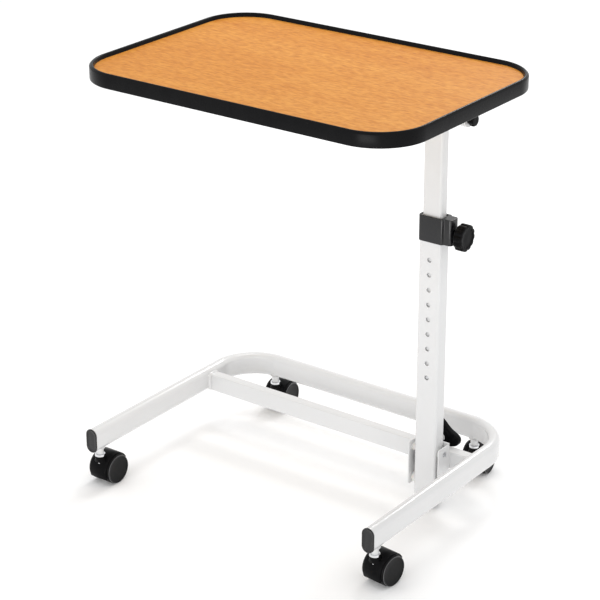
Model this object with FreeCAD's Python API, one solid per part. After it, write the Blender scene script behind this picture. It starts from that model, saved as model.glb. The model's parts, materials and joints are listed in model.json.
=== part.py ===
import FreeCAD, Part
import math
import os

# Overbed table on casters, in mm. Z is up and the origin is on the floor at the middle of the
# footprint. The long side of the top runs along X, the mast stands at +X, and the user sits at -Y.

V = FreeCAD.Vector

# ---- tabletop
TOP_LENGTH = 600.0
TOP_WIDTH = 418.0
TOP_Y = -5.0
TOP_CORNER_R = 81.0
CREST_Z = 714.3
RIDGE_Z = 711.5
RIM_BOTTOM_Z = 690.8
RIM_THICK = 4.5
LIP_WIDTH = 8.0
PANEL_BOTTOM_Z = 693.0
PANEL_TOP_Z = 707.0
LAMINATE_TOP_Z = 707.8
BARB_Z = 700.5
BARB_THICK = 2.4
BARB_DEPTH = 8.0

# ---- base frame
ARM_X = 273.5
BAR_Y = 183.5
FRONT_Y = -228.0
TUBE_W = 20.0
TUBE_H = 40.0
TUBE_WALL = 1.5
CAP_LIP = 1.8
TUBE_Z = 87.0
BEND_R = 75.0
CROSS_Y = 78.0
CROSS_DEPTH = 18.0
CROSS_Z0 = 67.0
CROSS_Z1 = 97.5

# ---- mast
MAST_X = 198.0
MAST_Y = 54.0
OUTER_X = 40.0
OUTER_Y = 25.0
OUTER_R = 4.0
OUTER_WALL = 1.5
OUTER_Z0 = 11.0
OUTER_Z1 = 497.0
INNER_X = 34.0
INNER_Y = 19.0
INNER_R = 4.0
INNER_WALL = 1.5
INNER_Z0 = 215.0
HOLE_Z0 = 230.0
HOLE_PITCH = 25.0
HOLE_COUNT = 9
HOLE_D = 8.0

# ---- folding bracket at the mast foot
PIVOT_Z = 43.5
BRACKET_IN = 27.0
BRACKET_OUT = 29.0
BRACKET_FRONT_Y = 38.0
BRACKET_Z0 = 34.5
BRACKET_Z1 = 110.5
WEB_Z0 = 60.0
WEB_Z1 = 112.5
WEB_Y = 67.0
GUIDE_Z = 98.0
WING_Z = 106.0

# ---- collar and height knob
COLLAR_Z0 = 459.5
COLLAR_Z1 = 501.5
COLLAR_X = 43.5
COLLAR_Y = 28.0
BLOCK_X = 235.0
BLOCK_W = 21.0
HEIGHT_KNOB_Z = 475.5
HEIGHT_KNOB_D = 42.0

# ---- tilt head
TILT_Z = 664.5
HEAD_TUBE_R = 12.5
HEAD_HALF = 52.0
EAR_IN = 53.5
EAR_OUT = 56.0

# ---- casters
WHEEL_R = 25.0
TRAIL = 20.0
HOOD_HALF = 17.5
CASTERS = {
    "fl": (-ARM_X, -208.0),
    "fr": (ARM_X, -208.0),
    "rl": (-206.0, 180.77),
    "rr": (206.0, 180.77),
}
SWIVEL = {"fl": 0.0, "fr": -6.5, "rl": 5.0, "rr": 8.0}


def box(x0, x1, y0, y1, z0, z1):
    return Part.makeBox(x1 - x0, y1 - y0, z1 - z0, V(x0, y0, z0))


def cyl(x, y, z, direction, length, r):
    return Part.makeCylinder(r, length, V(x, y, z), direction)


def cyl_x(x0, x1, y, z, r):
    return cyl(x0, y, z, V(1, 0, 0), x1 - x0, r)


def cyl_y(y0, y1, x, z, r):
    return cyl(x, y0, z, V(0, 1, 0), y1 - y0, r)


def cyl_z(z0, z1, x, y, r):
    return cyl(x, y, z0, V(0, 0, 1), z1 - z0, r)


def group(shapes):
    """Several separate solids that share one node."""
    return Part.makeCompound(shapes)


def rounded_wire(cx, cy, z, length, width, r):
    """Rounded rectangle in the XY plane, starting in the middle of its +X side."""
    a = length / 2.0
    b = width / 2.0
    k = math.sqrt(0.5)
    edges = []
    last = V(cx + a, cy, z)
    for sx, sy in ((1, 1), (-1, 1), (-1, -1), (1, -1)):
        mid = V(cx + sx * (a - r + r * k), cy + sy * (b - r + r * k), z)
        on_x = V(cx + sx * a, cy + sy * (b - r), z)
        on_y = V(cx + sx * (a - r), cy + sy * b, z)
        first, second = (on_x, on_y) if sx * sy > 0 else (on_y, on_x)
        if (first - last).Length > 1e-6:
            edges.append(Part.makeLine(last, first))
        edges.append(Part.Arc(first, mid, second).toShape())
        last = second
    edges.append(Part.makeLine(last, V(cx + a, cy, z)))
    return Part.Wire(edges)


def rounded_prism(cx, cy, z0, z1, length, width, r):
    face = Part.Face(rounded_wire(cx, cy, z0, length, width, r))
    return face.extrude(V(0, 0, z1 - z0))


def polygon(points):
    return Part.makePolygon([V(*p) for p in points] + [V(*points[0])])


# ------------------------------------------------------------------ tabletop

def outline(inset, z):
    return rounded_wire(0, TOP_Y, z, TOP_LENGTH - 2 * inset, TOP_WIDTH - 2 * inset,
                        TOP_CORNER_R - inset)


def edge_rim():
    """Soft edging: flat outside, a raised bead round the panel, and a barbed leg in a groove."""
    x = TOP_LENGTH / 2.0
    lip_in = x - 4.4
    half = BARB_THICK / 2.0
    leg_in = x - RIM_THICK - BARB_DEPTH + 0.4
    pts = [
        (x - 6.0, RIM_BOTTOM_Z),
        (x - 1.2, RIM_BOTTOM_Z),
        (x, RIM_BOTTOM_Z + 1.2),
        (x, RIDGE_Z - 0.3),
        (x - 0.3, RIDGE_Z),
        (x - 1.4, RIDGE_Z + 1.5),
        (x - 2.8, CREST_Z - 0.4),
        (lip_in, CREST_Z),
        (lip_in - 1.2, CREST_Z - 0.4),
        (lip_in - 2.3, CREST_Z - 1.8),
        (lip_in - 3.0, LAMINATE_TOP_Z + 2.4),
        (x - LIP_WIDTH, LAMINATE_TOP_Z),
        (x - LIP_WIDTH, PANEL_TOP_Z),
        (x - RIM_THICK, PANEL_TOP_Z),
        (x - RIM_THICK, BARB_Z + half),
        (leg_in + 0.8, BARB_Z + half),
        (leg_in, BARB_Z + 0.3),
        (leg_in, BARB_Z - 0.3),
        (leg_in + 0.8, BARB_Z - half),
        (x - RIM_THICK, BARB_Z - half),
        (x - RIM_THICK, PANEL_BOTTOM_Z),
        (x - 6.0, PANEL_BOTTOM_Z),
    ]
    profile = polygon([(p[0], TOP_Y, p[1]) for p in pts])
    return swept(profile, outline(0, 700.0))


def swept(profile, path):
    pipe = Part.BRepOffsetAPI.MakePipeShell(path)
    pipe.setFrenetMode(True)
    pipe.add(profile)
    pipe.build()
    pipe.makeSolid()
    return pipe.shape()


def tabletop_panel():
    panel = Part.Face(outline(RIM_THICK, PANEL_BOTTOM_Z)).extrude(
        V(0, 0, PANEL_TOP_Z - PANEL_BOTTOM_Z))
    half = BARB_THICK / 2.0 + 0.1
    ring = Part.Face(outline(RIM_THICK - 1.0, BARB_Z - half)).extrude(V(0, 0, 2 * half))
    core = Part.Face(outline(RIM_THICK + BARB_DEPTH, BARB_Z - half)).extrude(V(0, 0, 2 * half))
    panel = panel.cut(ring.cut(core))
    for x, y in screw_places():
        panel = panel.cut(cyl_z(PANEL_BOTTOM_Z - 1, PANEL_BOTTOM_Z + 11.5, x, y, 2.0))
    return panel


def top_laminate():
    return Part.Face(outline(LIP_WIDTH, PANEL_TOP_Z)).extrude(
        V(0, 0, LAMINATE_TOP_Z - PANEL_TOP_Z))


# ------------------------------------------------------------------ base frame

def stadium_wire(w, h, x, y, z):
    """Flat-oval section in the XZ plane at y."""
    r = w / 2.0
    s = h / 2.0 - r
    top = Part.Arc(V(x + r, y, z + s), V(x, y, z + s + r), V(x - r, y, z + s)).toShape()
    side = Part.makeLine(V(x - r, y, z + s), V(x - r, y, z - s))
    low = Part.Arc(V(x - r, y, z - s), V(x, y, z - s - r), V(x + r, y, z - s)).toShape()
    back = Part.makeLine(V(x + r, y, z - s), V(x + r, y, z + s))
    return Part.Wire([top, side, low, back])


def u_path():
    k = math.sqrt(0.5)
    r = BEND_R
    y0 = FRONT_Y + 2.5
    yb = BAR_Y - r
    xb = ARM_X - r
    pts = [V(-ARM_X, y0, TUBE_Z), V(-ARM_X, yb, TUBE_Z), V(-xb, BAR_Y, TUBE_Z),
           V(xb, BAR_Y, TUBE_Z), V(ARM_X, yb, TUBE_Z), V(ARM_X, y0, TUBE_Z)]
    left = Part.Arc(pts[1], V(-xb - r * k, yb + r * k, TUBE_Z), pts[2]).toShape()
    right = Part.Arc(pts[3], V(xb + r * k, yb + r * k, TUBE_Z), pts[4]).toShape()
    return Part.Wire([Part.makeLine(pts[0], pts[1]), left, Part.makeLine(pts[2], pts[3]), right,
                      Part.makeLine(pts[4], pts[5])])


def u_solid(w, h):
    return swept(stadium_wire(w, h, -ARM_X, FRONT_Y + 2.5, TUBE_Z), u_path())


def base_tube():
    tube = u_solid(TUBE_W, TUBE_H).cut(u_solid(TUBE_W - 2 * TUBE_WALL, TUBE_H - 2 * TUBE_WALL))
    for x, y in CASTERS.values():
        tube = tube.cut(cyl_z(60, 76, x, y, 7.55))
    return tube


def crossbar():
    y0 = CROSS_Y - CROSS_DEPTH / 2.0
    y1 = CROSS_Y + CROSS_DEPTH / 2.0
    x = ARM_X - 6.0
    outer = box(-x, x, y0, y1, CROSS_Z0, CROSS_Z1)
    edges = [e for e in outer.Edges if abs(e.tangentAt(e.FirstParameter).x) > 0.9]
    outer = outer.makeFillet(2.5, edges)
    w = TUBE_WALL
    inner = box(-x - 1, x + 1, y0 + w, y1 - w, CROSS_Z0 + w, CROSS_Z1 - w)
    return outer.cut(inner).cut(u_solid(TUBE_W, TUBE_H))


def end_caps():
    caps = []
    for x in (-ARM_X, ARM_X):
        plate = Part.Face(stadium_wire(TUBE_W + CAP_LIP, TUBE_H + CAP_LIP, x, FRONT_Y,
                                       TUBE_Z)).extrude(V(0, 2.5, 0))
        rim = [e for e in plate.Edges if e.BoundBox.YMax < FRONT_Y + 0.1]
        plate = plate.makeFillet(0.8, rim)
        dish = Part.Face(stadium_wire(15.6, 36.4, x, FRONT_Y - 1.0, TUBE_Z)).extrude(V(0, 1.6, 0))
        w = 2 * TUBE_WALL + 0.1
        plug = Part.Face(stadium_wire(TUBE_W - w, TUBE_H - w, x, FRONT_Y + 2.0, TUBE_Z)).extrude(
            V(0, 9.0, 0))
        caps.append(plate.cut(dish).fuse(plug))
    return group(caps)


def mast_bracket():
    """Folded sheet: a web on the crossbar and two long ears that hold the mast between them."""
    shape = box(MAST_X - BRACKET_OUT, MAST_X + BRACKET_OUT, WEB_Y, WEB_Y + 2, WEB_Z0, WEB_Z1)
    for side in (-1, 1):
        x0 = MAST_X + side * BRACKET_IN
        x1 = MAST_X + side * BRACKET_OUT
        ear = box(min(x0, x1), max(x0, x1), BRACKET_FRONT_Y, WEB_Y + 2, BRACKET_Z0, BRACKET_Z1)
        corner = [e for e in ear.Edges if e.BoundBox.YMax < BRACKET_FRONT_Y + 0.1
                  and e.BoundBox.ZLength < 0.1]
        shape = shape.fuse(ear.makeFillet(3.0, corner))
    shape = shape.cut(cyl_x(MAST_X - 40, MAST_X + 40, MAST_Y, PIVOT_Z, 4.1))
    shape = shape.cut(cyl_x(MAST_X - 40, MAST_X + 40, MAST_Y, GUIDE_Z, 2.6))
    shape = shape.cut(cyl_y(WEB_Y - 1, WEB_Y + 3, MAST_X, WING_Z, 4.05))
    return shape.removeSplitter()


def hexagon(x0, x1, y, z, across):
    r = across / math.sqrt(3.0)
    pts = [(x0, y + r * math.cos(math.pi / 3 * i), z + r * math.sin(math.pi / 3 * i))
           for i in range(6)]
    return Part.Face(polygon(pts)).extrude(V(x1 - x0, 0, 0))


def pivot_bolt():
    x0 = MAST_X - BRACKET_OUT
    shank = cyl_x(x0 - 1.0, MAST_X + 37.5, MAST_Y, PIVOT_Z, 4.0)
    head = hexagon(x0 - 5.5, x0, MAST_Y, PIVOT_Z, 13.0)
    crown = cyl_x(x0 - 7, x0 + 1, MAST_Y, PIVOT_Z, 7.2)
    crown = crown.makeChamfer(1.0, [crown.Edges[0], crown.Edges[2]])
    return shank.fuse(head.common(crown))


def pivot_nut():
    x0 = MAST_X + BRACKET_OUT
    nut = hexagon(x0, x0 + 7.0, MAST_Y, PIVOT_Z, 13.0)
    return nut.cut(cyl_x(x0 - 1, x0 + 9, MAST_Y, PIVOT_Z, 4.0))


def guide_pads():
    """Nylon discs on the ears that steady the sides of the upright mast."""
    left = cyl_x(MAST_X - BRACKET_IN, MAST_X - BRACKET_IN + 6.6, MAST_Y, GUIDE_Z, 7.5)
    right = cyl_x(MAST_X + BRACKET_IN - 6.6, MAST_X + BRACKET_IN, MAST_Y, GUIDE_Z, 7.5)
    bore = cyl_x(MAST_X - 30, MAST_X - 22, MAST_Y, GUIDE_Z, 2.1)
    bore2 = cyl_x(MAST_X + 22, MAST_X + 30, MAST_Y, GUIDE_Z, 2.1)
    return group([left.cut(bore), right.cut(bore2)])


def guide_screws():
    screws = []
    for side in (-1, 1):
        out = MAST_X + side * BRACKET_OUT
        tip = MAST_X + side * 22.5
        shank = cyl_x(min(out, tip), max(out, tip), MAST_Y, GUIDE_Z, 2.0)
        far = out + side * 1.8
        head = cyl_x(min(out, far), max(out, far), MAST_Y, GUIDE_Z, 4.0)
        slot_x = out + side * 0.9
        slot = box(min(slot_x, far + side), max(slot_x, far + side), MAST_Y - 0.6, MAST_Y + 0.6,
                   GUIDE_Z - 5, GUIDE_Z + 5)
        screws.append(shank.fuse(head.cut(slot)))
    return group(screws)


def wing_boss():
    """Threaded boss welded behind the web, over the crossbar."""
    boss = cyl_y(WEB_Y + 2, 90.5, MAST_X, WING_Z, 6.5)
    return boss.cut(cyl_y(WEB_Y, 92, MAST_X, WING_Z, 4.05))


def wing_screw():
    return cyl_y(67.0, 100.0, MAST_X, WING_Z, 4.0).fuse(cyl_y(63.8, 67.5, MAST_X, WING_Z, 3.0))


def wing_knob():
    """Three blunt lobes round a hub."""
    r = 30.5
    tip = 10.3
    y0 = 93.0
    y1 = 104.5
    lobes = []
    for i in range(3):
        a = math.radians(114 + 120 * i)
        lobes.append((MAST_X + (r - tip) * math.cos(a), WING_Z + (r - tip) * math.sin(a)))
    body = Part.Face(polygon([(x, y0, z) for x, z in lobes])).extrude(V(0, y1 - y0, 0))
    for x, z in lobes:
        body = body.fuse(cyl_y(y0, y1, x, z, tip))
    for i in range(3):
        a = math.radians(114 + 60 + 120 * i)
        body = body.fuse(side_web(a, r - tip, tip - 1.2, y0, y1))
    hub = cyl_y(y0 - 1.5, y1 + 2.0, MAST_X, WING_Z, 9.5)
    body = body.fuse(hub).removeSplitter()
    return body.cut(cyl_y(y0 - 3, 100.0, MAST_X, WING_Z, 4.0))


def side_web(angle, reach, depth, y0, y1):
    """Fills one side of the triangle between two lobes, a little short of their tangent."""
    c = math.cos(angle)
    s = math.sin(angle)
    near = reach * 0.5
    far = near + depth
    half = reach * math.cos(math.radians(30)) * 0.92
    pts = []
    for d, t in ((near - 2, -half), (far, -half), (far, half), (near - 2, half)):
        pts.append((MAST_X + d * c - t * s, y0, WING_Z + d * s + t * c))
    return Part.Face(polygon(pts)).extrude(V(0, y1 - y0, 0))


def caster_sockets():
    return group([cyl_z(57, 75, x, y, 7.5).cut(cyl_z(56, 76, x, y, 5.05))
                  for x, y in CASTERS.values()])


def caster_stems():
    stems = []
    for x, y in CASTERS.values():
        stem = cyl_z(57, 79, x, y, 5.0).fuse(cyl_z(53.6, 57, x, y, 8.5))
        stems.append(stem.fuse(cyl_z(36, 53.6, x, y, 4.0)))
    return group(stems)


# ------------------------------------------------------------------ lower mast

def rounded_tube(z0, z1, length, width, r, wall):
    outer = rounded_prism(MAST_X, MAST_Y, z0, z1, length, width, r)
    inner = rounded_prism(MAST_X, MAST_Y, z0 - 1, z1 + 1, length - 2 * wall, width - 2 * wall,
                          r - wall)
    return outer.cut(inner)


def lower_mast_tube():
    tube = rounded_tube(OUTER_Z0, OUTER_Z1, OUTER_X, OUTER_Y, OUTER_R, OUTER_WALL)
    front = MAST_Y - OUTER_Y / 2.0
    for i in range(HOLE_COUNT):
        tube = tube.cut(cyl_y(front - 1, front + 3, MAST_X, HOLE_Z0 + HOLE_PITCH * i, HOLE_D / 2))
    tube = tube.cut(cyl_x(MAST_X - 21, MAST_X + 21, MAST_Y, PIVOT_Z, 6.0))
    back = MAST_Y + OUTER_Y / 2.0
    tube = tube.cut(cyl_y(back - 3, back + 1, MAST_X, WING_Z, 4.4))
    return tube.cut(cyl_x(MAST_X + 15, MAST_X + 21, MAST_Y, HEIGHT_KNOB_Z, 5.0))


def mast_foot_plug():
    cap = rounded_prism(MAST_X, MAST_Y, OUTER_Z0 - 2, OUTER_Z0, OUTER_X, OUTER_Y, OUTER_R)
    plug = rounded_prism(MAST_X, MAST_Y, OUTER_Z0, OUTER_Z0 + 12, OUTER_X - 3.1, OUTER_Y - 3.1, 2.4)
    return cap.fuse(plug)


def pivot_sleeve():
    reach = BRACKET_IN - 0.35
    sleeve = cyl_x(MAST_X - reach, MAST_X + reach, MAST_Y, PIVOT_Z, 6.0)
    return sleeve.cut(cyl_x(MAST_X - 30, MAST_X + 30, MAST_Y, PIVOT_Z, 4.05))


def pivot_washers():
    washers = []
    for side in (-1, 1):
        x0 = MAST_X + side * OUTER_X / 2.0
        x1 = MAST_X + side * (BRACKET_IN - 0.35)
        ring = cyl_x(min(x0, x1), max(x0, x1), MAST_Y, PIVOT_Z, 9.5)
        washers.append(ring.cut(cyl_x(MAST_X - 30, MAST_X + 30, MAST_Y, PIVOT_Z, 6.0)))
    return group(washers)


def collar():
    """Moulded collar over the top of the lower tube, with a block for the clamp screw."""
    body = rounded_prism(MAST_X, MAST_Y, COLLAR_Z0, COLLAR_Z1, COLLAR_X, COLLAR_Y, 5.5)
    half = BLOCK_W / 2.0
    block = box(MAST_X, BLOCK_X, MAST_Y - half, MAST_Y + half, COLLAR_Z0, COLLAR_Z1)
    upright = [e for e in block.Edges if e.BoundBox.ZLength > 10 and e.BoundBox.XMin > BLOCK_X - 1]
    body = body.fuse(block.makeFillet(2.0, upright)).removeSplitter()
    body = body.cut(rounded_prism(MAST_X, MAST_Y, COLLAR_Z0 - 1, OUTER_Z1, OUTER_X, OUTER_Y, OUTER_R))
    body = body.cut(rounded_prism(MAST_X, MAST_Y, OUTER_Z1 - 1, COLLAR_Z1 + 1, INNER_X + 1.6,
                                  INNER_Y + 1.6, INNER_R + 0.8))
    body = body.cut(cyl_x(MAST_X + 15, BLOCK_X + 1, MAST_Y, HEIGHT_KNOB_Z, 6.0))
    return body


def collar_insert():
    x0 = MAST_X + OUTER_X / 2.0
    sleeve = cyl_x(x0 + 0.5, BLOCK_X, MAST_Y, HEIGHT_KNOB_Z, 6.0)
    return sleeve.cut(cyl_x(x0, BLOCK_X + 1, MAST_Y, HEIGHT_KNOB_Z, 4.05))


def guide_bush():
    gap = 0.06
    outer = rounded_prism(MAST_X, MAST_Y, 452, OUTER_Z1, OUTER_X - 2 * OUTER_WALL,
                          OUTER_Y - 2 * OUTER_WALL, OUTER_R - OUTER_WALL)
    inner = rounded_prism(MAST_X, MAST_Y, 451, OUTER_Z1 + 1, INNER_X + 2 * gap,
                          INNER_Y + 2 * gap, INNER_R + gap)
    return outer.cut(inner).cut(cyl_x(MAST_X + 15, MAST_X + 19, MAST_Y, HEIGHT_KNOB_Z, 5.0))


def pressure_pad():
    x0 = MAST_X + INNER_X / 2.0 + 0.3
    return cyl_x(x0, x0 + 2.2, MAST_Y, HEIGHT_KNOB_Z, 5.0)


def fluted_disc(x0, x1, y, z, r, count, depth, phase):
    """Round hand knob whose rim is cut by even, shallow flutes, with softened edges."""
    disc = cyl_x(x0, x1, y, z, r)
    disc = disc.makeFillet(1.6, [e for e in disc.Edges if e.BoundBox.XLength < 0.1])
    cut_r = r * 0.26
    for i in range(count):
        a = 2 * math.pi * i / count + phase
        d = r + cut_r - depth
        disc = disc.cut(cyl_x(x0 - 1, x1 + 1, y + d * math.cos(a), z + d * math.sin(a), cut_r))
    return disc


def height_knob():
    x0 = BLOCK_X + 1.0
    face = 258.0
    knob = fluted_disc(face - 13.0, face, MAST_Y, HEIGHT_KNOB_Z, HEIGHT_KNOB_D / 2.0, 12, 1.3, 0.1)
    hub = Part.makeCone(8.5, 12.0, face - 13.0 - x0, V(x0, MAST_Y, HEIGHT_KNOB_Z), V(1, 0, 0))
    return knob.fuse(hub).cut(cyl_x(x0 - 1, face - 4, MAST_Y, HEIGHT_KNOB_Z, 4.0))


def height_screw():
    return cyl_x(MAST_X + INNER_X / 2.0 + 2.8, 254.0, MAST_Y, HEIGHT_KNOB_Z, 4.0)


# ------------------------------------------------------------------ upper mast

def head_axis_cylinder(half, r):
    return cyl_x(MAST_X - half, MAST_X + half, MAST_Y, TILT_Z, r)


def upper_mast_tube():
    tube = rounded_tube(INNER_Z0, TILT_Z, INNER_X, INNER_Y, INNER_R, INNER_WALL)
    tube = tube.cut(head_axis_cylinder(HEAD_HALF, HEAD_TUBE_R))
    front = MAST_Y - INNER_Y / 2.0
    return tube.cut(cyl_y(front - 1, front + 3, MAST_X, HOLE_Z0, 3.75))


def slide_foot():
    """Nylon ring on the bottom of the upper tube that centres it in the lower tube."""
    z1 = INNER_Z0
    z0 = z1 - 9.0
    ring = rounded_prism(MAST_X, MAST_Y, z0, z1, 36.86, 21.86, 2.4)
    spigot = rounded_prism(MAST_X, MAST_Y, z1, z1 + 8, INNER_X - 3.0, INNER_Y - 3.0, 2.5)
    hollow = rounded_prism(MAST_X, MAST_Y, z0 - 1, z1 + 9, INNER_X - 7, INNER_Y - 7, 1.5)
    return ring.fuse(spigot).cut(hollow)


def head_tube():
    return head_axis_cylinder(HEAD_HALF, HEAD_TUBE_R).cut(head_axis_cylinder(HEAD_HALF + 1, 10.0))


def head_plugs():
    plugs = []
    for side in (-1, 1):
        x0 = MAST_X + side * HEAD_HALF
        x1 = MAST_X + side * (HEAD_HALF - 14)
        plug = cyl_x(min(x0, x1), max(x0, x1), MAST_Y, TILT_Z, 10.0)
        plugs.append(plug.cut(head_axis_cylinder(HEAD_HALF + 1, 4.05)))
    return group(plugs)


def snap_button():
    """Spring pin with a domed end that drops into the height holes."""
    front = MAST_Y - OUTER_Y / 2.0 + OUTER_WALL + 0.3
    pin = cyl_y(front + 1.2, MAST_Y - 3.0, MAST_X, HOLE_Z0, 3.7)
    dome = Part.makeCone(2.5, 3.7, 1.2, V(MAST_X, front, HOLE_Z0), V(0, 1, 0))
    flange = cyl_y(MAST_Y - 5.0, MAST_Y - 3.4, MAST_X, HOLE_Z0, 5.2)
    return pin.fuse(dome).fuse(flange)


def button_spring():
    """Leaf spring bent in a V, standing on the back wall inside the upper tube."""
    y_back = MAST_Y + INNER_Y / 2.0 - INNER_WALL
    y_pin = MAST_Y
    z = HOLE_Z0
    pts = [
        (y_back, z - 4), (y_back, z + 30), (y_back - 3.5, z + 34), (y_pin, z + 8), (y_pin, z - 4),
        (y_pin + 0.5, z - 4), (y_pin + 0.5, z + 8), (y_back - 3.3, z + 32.6),
        (y_back - 0.5, z + 29.6), (y_back - 0.5, z - 4),
    ]
    face = Part.Face(polygon([(MAST_X - 5, p[0], p[1]) for p in pts]))
    return face.extrude(V(10, 0, 0))


# ------------------------------------------------------------------ tilt bracket

def screw_places():
    return [(MAST_X + sx * 36, MAST_Y + sy * 34) for sx in (-1, 1) for sy in (-1, 1)]


def tilt_bracket():
    """Channel under the top: a screwed plate and two ears round the tilt axis."""
    z1 = PANEL_BOTTOM_Z
    plate = rounded_prism(MAST_X, MAST_Y, z1 - 2.5, z1, 2 * EAR_OUT, 90, 6)
    shape = plate
    for side in (-1, 1):
        x0 = min(MAST_X + side * EAR_IN, MAST_X + side * EAR_OUT)
        pts = [(x0, MAST_Y - 30, z1 - 2), (x0, MAST_Y + 30, z1 - 2), (x0, MAST_Y + 12.5, TILT_Z),
               (x0, MAST_Y - 12.5, TILT_Z)]
        ear = Part.Face(polygon(pts)).extrude(V(EAR_OUT - EAR_IN, 0, 0))
        shape = shape.fuse(ear.fuse(cyl_x(x0, x0 + EAR_OUT - EAR_IN, MAST_Y, TILT_Z, 12.5)))
    shape = shape.cut(cyl_x(MAST_X - 70, MAST_X + 70, MAST_Y, TILT_Z, 4.05))
    for x, y in screw_places():
        shape = shape.cut(cyl_z(z1 - 4, z1 + 1, x, y, 2.3))
    return shape.removeSplitter()


def tilt_washers():
    rings = []
    for side in (-1, 1):
        x0 = MAST_X + side * (HEAD_HALF + 0.3)
        x1 = MAST_X + side * EAR_IN
        ring = cyl_x(min(x0, x1), max(x0, x1), MAST_Y, TILT_Z, 11.0)
        rings.append(ring.cut(cyl_x(MAST_X - 60, MAST_X + 60, MAST_Y, TILT_Z, 4.05)))
    return group(rings)


def tilt_bolt():
    x0 = MAST_X - EAR_OUT
    shank = cyl_x(x0, 262.0, MAST_Y, TILT_Z, 4.0)
    head = cyl_x(x0 - 4.0, x0, MAST_Y, TILT_Z, 8.5)
    head = head.makeFillet(2.5, [e for e in head.Edges if e.BoundBox.XMax < x0 - 3.9])
    return shank.fuse(head)


def bracket_screws():
    z = PANEL_BOTTOM_Z
    screws = []
    for x, y in screw_places():
        head = cyl_z(z - 4.7, z - 2.5, x, y, 4.0)
        head = head.makeFillet(1.0, [e for e in head.Edges if e.BoundBox.ZMax < z - 4.6])
        cross = box(x - 2.4, x + 2.4, y - 0.5, y + 0.5, z - 5.2, z - 3.6)
        cross = cross.fuse(box(x - 0.5, x + 0.5, y - 2.4, y + 2.4, z - 5.2, z - 3.6))
        screws.append(head.cut(cross).fuse(cyl_z(z - 3, z + 11, x, y, 1.95)))
    return group(screws)


def tilt_knob():
    face = 265.5
    knob = fluted_disc(face - 8.0, face, MAST_Y, TILT_Z, 9.5, 7, 0.9, 0.2)
    hub = cyl_x(MAST_X + EAR_OUT + 0.4, face - 8.0, MAST_Y, TILT_Z, 7.0)
    return knob.fuse(hub).cut(cyl_x(MAST_X + EAR_OUT, 262.5, MAST_Y, TILT_Z, 4.05))


# ------------------------------------------------------------------ casters

def sector(r, x0, x1, y, z, start, end):
    """Wedge-shaped slice of a cylinder round an X axis; angles in degrees from +Y towards +Z."""
    wedge = Part.makeCylinder(r, x1 - x0, V(x0, y, z), V(1, 0, 0), 360)
    big = r * 2.0
    pts = [(x0 - 1, y, z)]
    steps = 6
    for i in range(steps + 1):
        a = math.radians(start + (end - start) * i / steps)
        pts.append((x0 - 1, y + big * math.cos(a), z + big * math.sin(a)))
    return wedge.common(Part.Face(polygon(pts)).extrude(V(x1 - x0 + 2, 0, 0)))


def caster_body(x, y):
    """Hood over both wheels, a middle web for the axle and a boss for the swivel pin."""
    ya = y + TRAIL
    z = WHEEL_R
    hood = sector(28.0, x - HOOD_HALF, x + HOOD_HALF, ya, z, 28, 205)
    hood = hood.cut(cyl_x(x - HOOD_HALF - 1, x + HOOD_HALF + 1, ya, z, 26.0))
    web = sector(27.0, x - 4.2, x + 4.2, ya, z, 32, 212).fuse(cyl_x(x - 4.2, x + 4.2, ya, z, 8.0))
    boss = cyl_z(32, 53.1, x, y, 8.4).fuse(box(x - 4.2, x + 4.2, y, ya - 6, 32, 50))
    shape = hood.fuse(web).fuse(boss.cut(wheel_space(x, ya, z)))
    shape = shape.removeSplitter()
    shape = shape.cut(cyl_z(30, 60, x, y, 4.05))
    return shape.cut(cyl_x(x - 10, x + 10, ya, z, 3.0))


def wheel_space(x, ya, z):
    left = cyl_x(x - 21, x - 4.2, ya, z, 25.8)
    right = cyl_x(x + 4.2, x + 21, ya, z, 25.8)
    return left.fuse(right)


def caster_axle(x, y):
    return cyl_x(x - 19.0, x + 19.0, y + TRAIL, WHEEL_R, 3.0)


def caster_wheel(x, y, side):
    """Solid wheel with a rounded tread and a slightly dished outer face with a raised rim."""
    ya = y + TRAIL
    x_in = x + side * 5.0
    x_out = x + side * 21.5
    wheel = cyl_x(min(x_in, x_out), max(x_in, x_out), ya, WHEEL_R, WHEEL_R)
    rims = [e for e in wheel.Edges if e.BoundBox.XLength < 0.1]
    wheel = wheel.makeFillet(2.5, rims)
    pocket = cyl_x(min(x_out, x_out - side * 0.8), max(x_out, x_out - side * 0.8), ya, WHEEL_R, 20.5)
    wheel = wheel.cut(pocket)
    return wheel.cut(cyl_x(min(x_in, x_in + side * 14.3), max(x_in, x_in + side * 14.3), ya,
                           WHEEL_R, 3.05))


# ------------------------------------------------------------------ export

PARTS = {
    "base_tube": base_tube,
    "crossbar": crossbar,
    "end_caps": end_caps,
    "mast_bracket": mast_bracket,
    "pivot_bolt": pivot_bolt,
    "pivot_nut": pivot_nut,
    "guide_pads": guide_pads,
    "guide_screws": guide_screws,
    "wing_boss": wing_boss,
    "wing_screw": wing_screw,
    "wing_knob": wing_knob,
    "caster_sockets": caster_sockets,
    "caster_stems": caster_stems,
    "lower_mast_tube": lower_mast_tube,
    "mast_foot_plug": mast_foot_plug,
    "pivot_sleeve": pivot_sleeve,
    "pivot_washers": pivot_washers,
    "collar": collar,
    "collar_insert": collar_insert,
    "guide_bush": guide_bush,
    "pressure_pad": pressure_pad,
    "height_knob": height_knob,
    "height_screw": height_screw,
    "upper_mast_tube": upper_mast_tube,
    "slide_foot": slide_foot,
    "head_tube": head_tube,
    "head_plugs": head_plugs,
    "snap_button": snap_button,
    "button_spring": button_spring,
    "tilt_bracket": tilt_bracket,
    "tilt_washers": tilt_washers,
    "tilt_bolt": tilt_bolt,
    "bracket_screws": bracket_screws,
    "tabletop_panel": tabletop_panel,
    "top_laminate": top_laminate,
    "edge_rim": edge_rim,
    "tilt_knob": tilt_knob,
}


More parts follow.
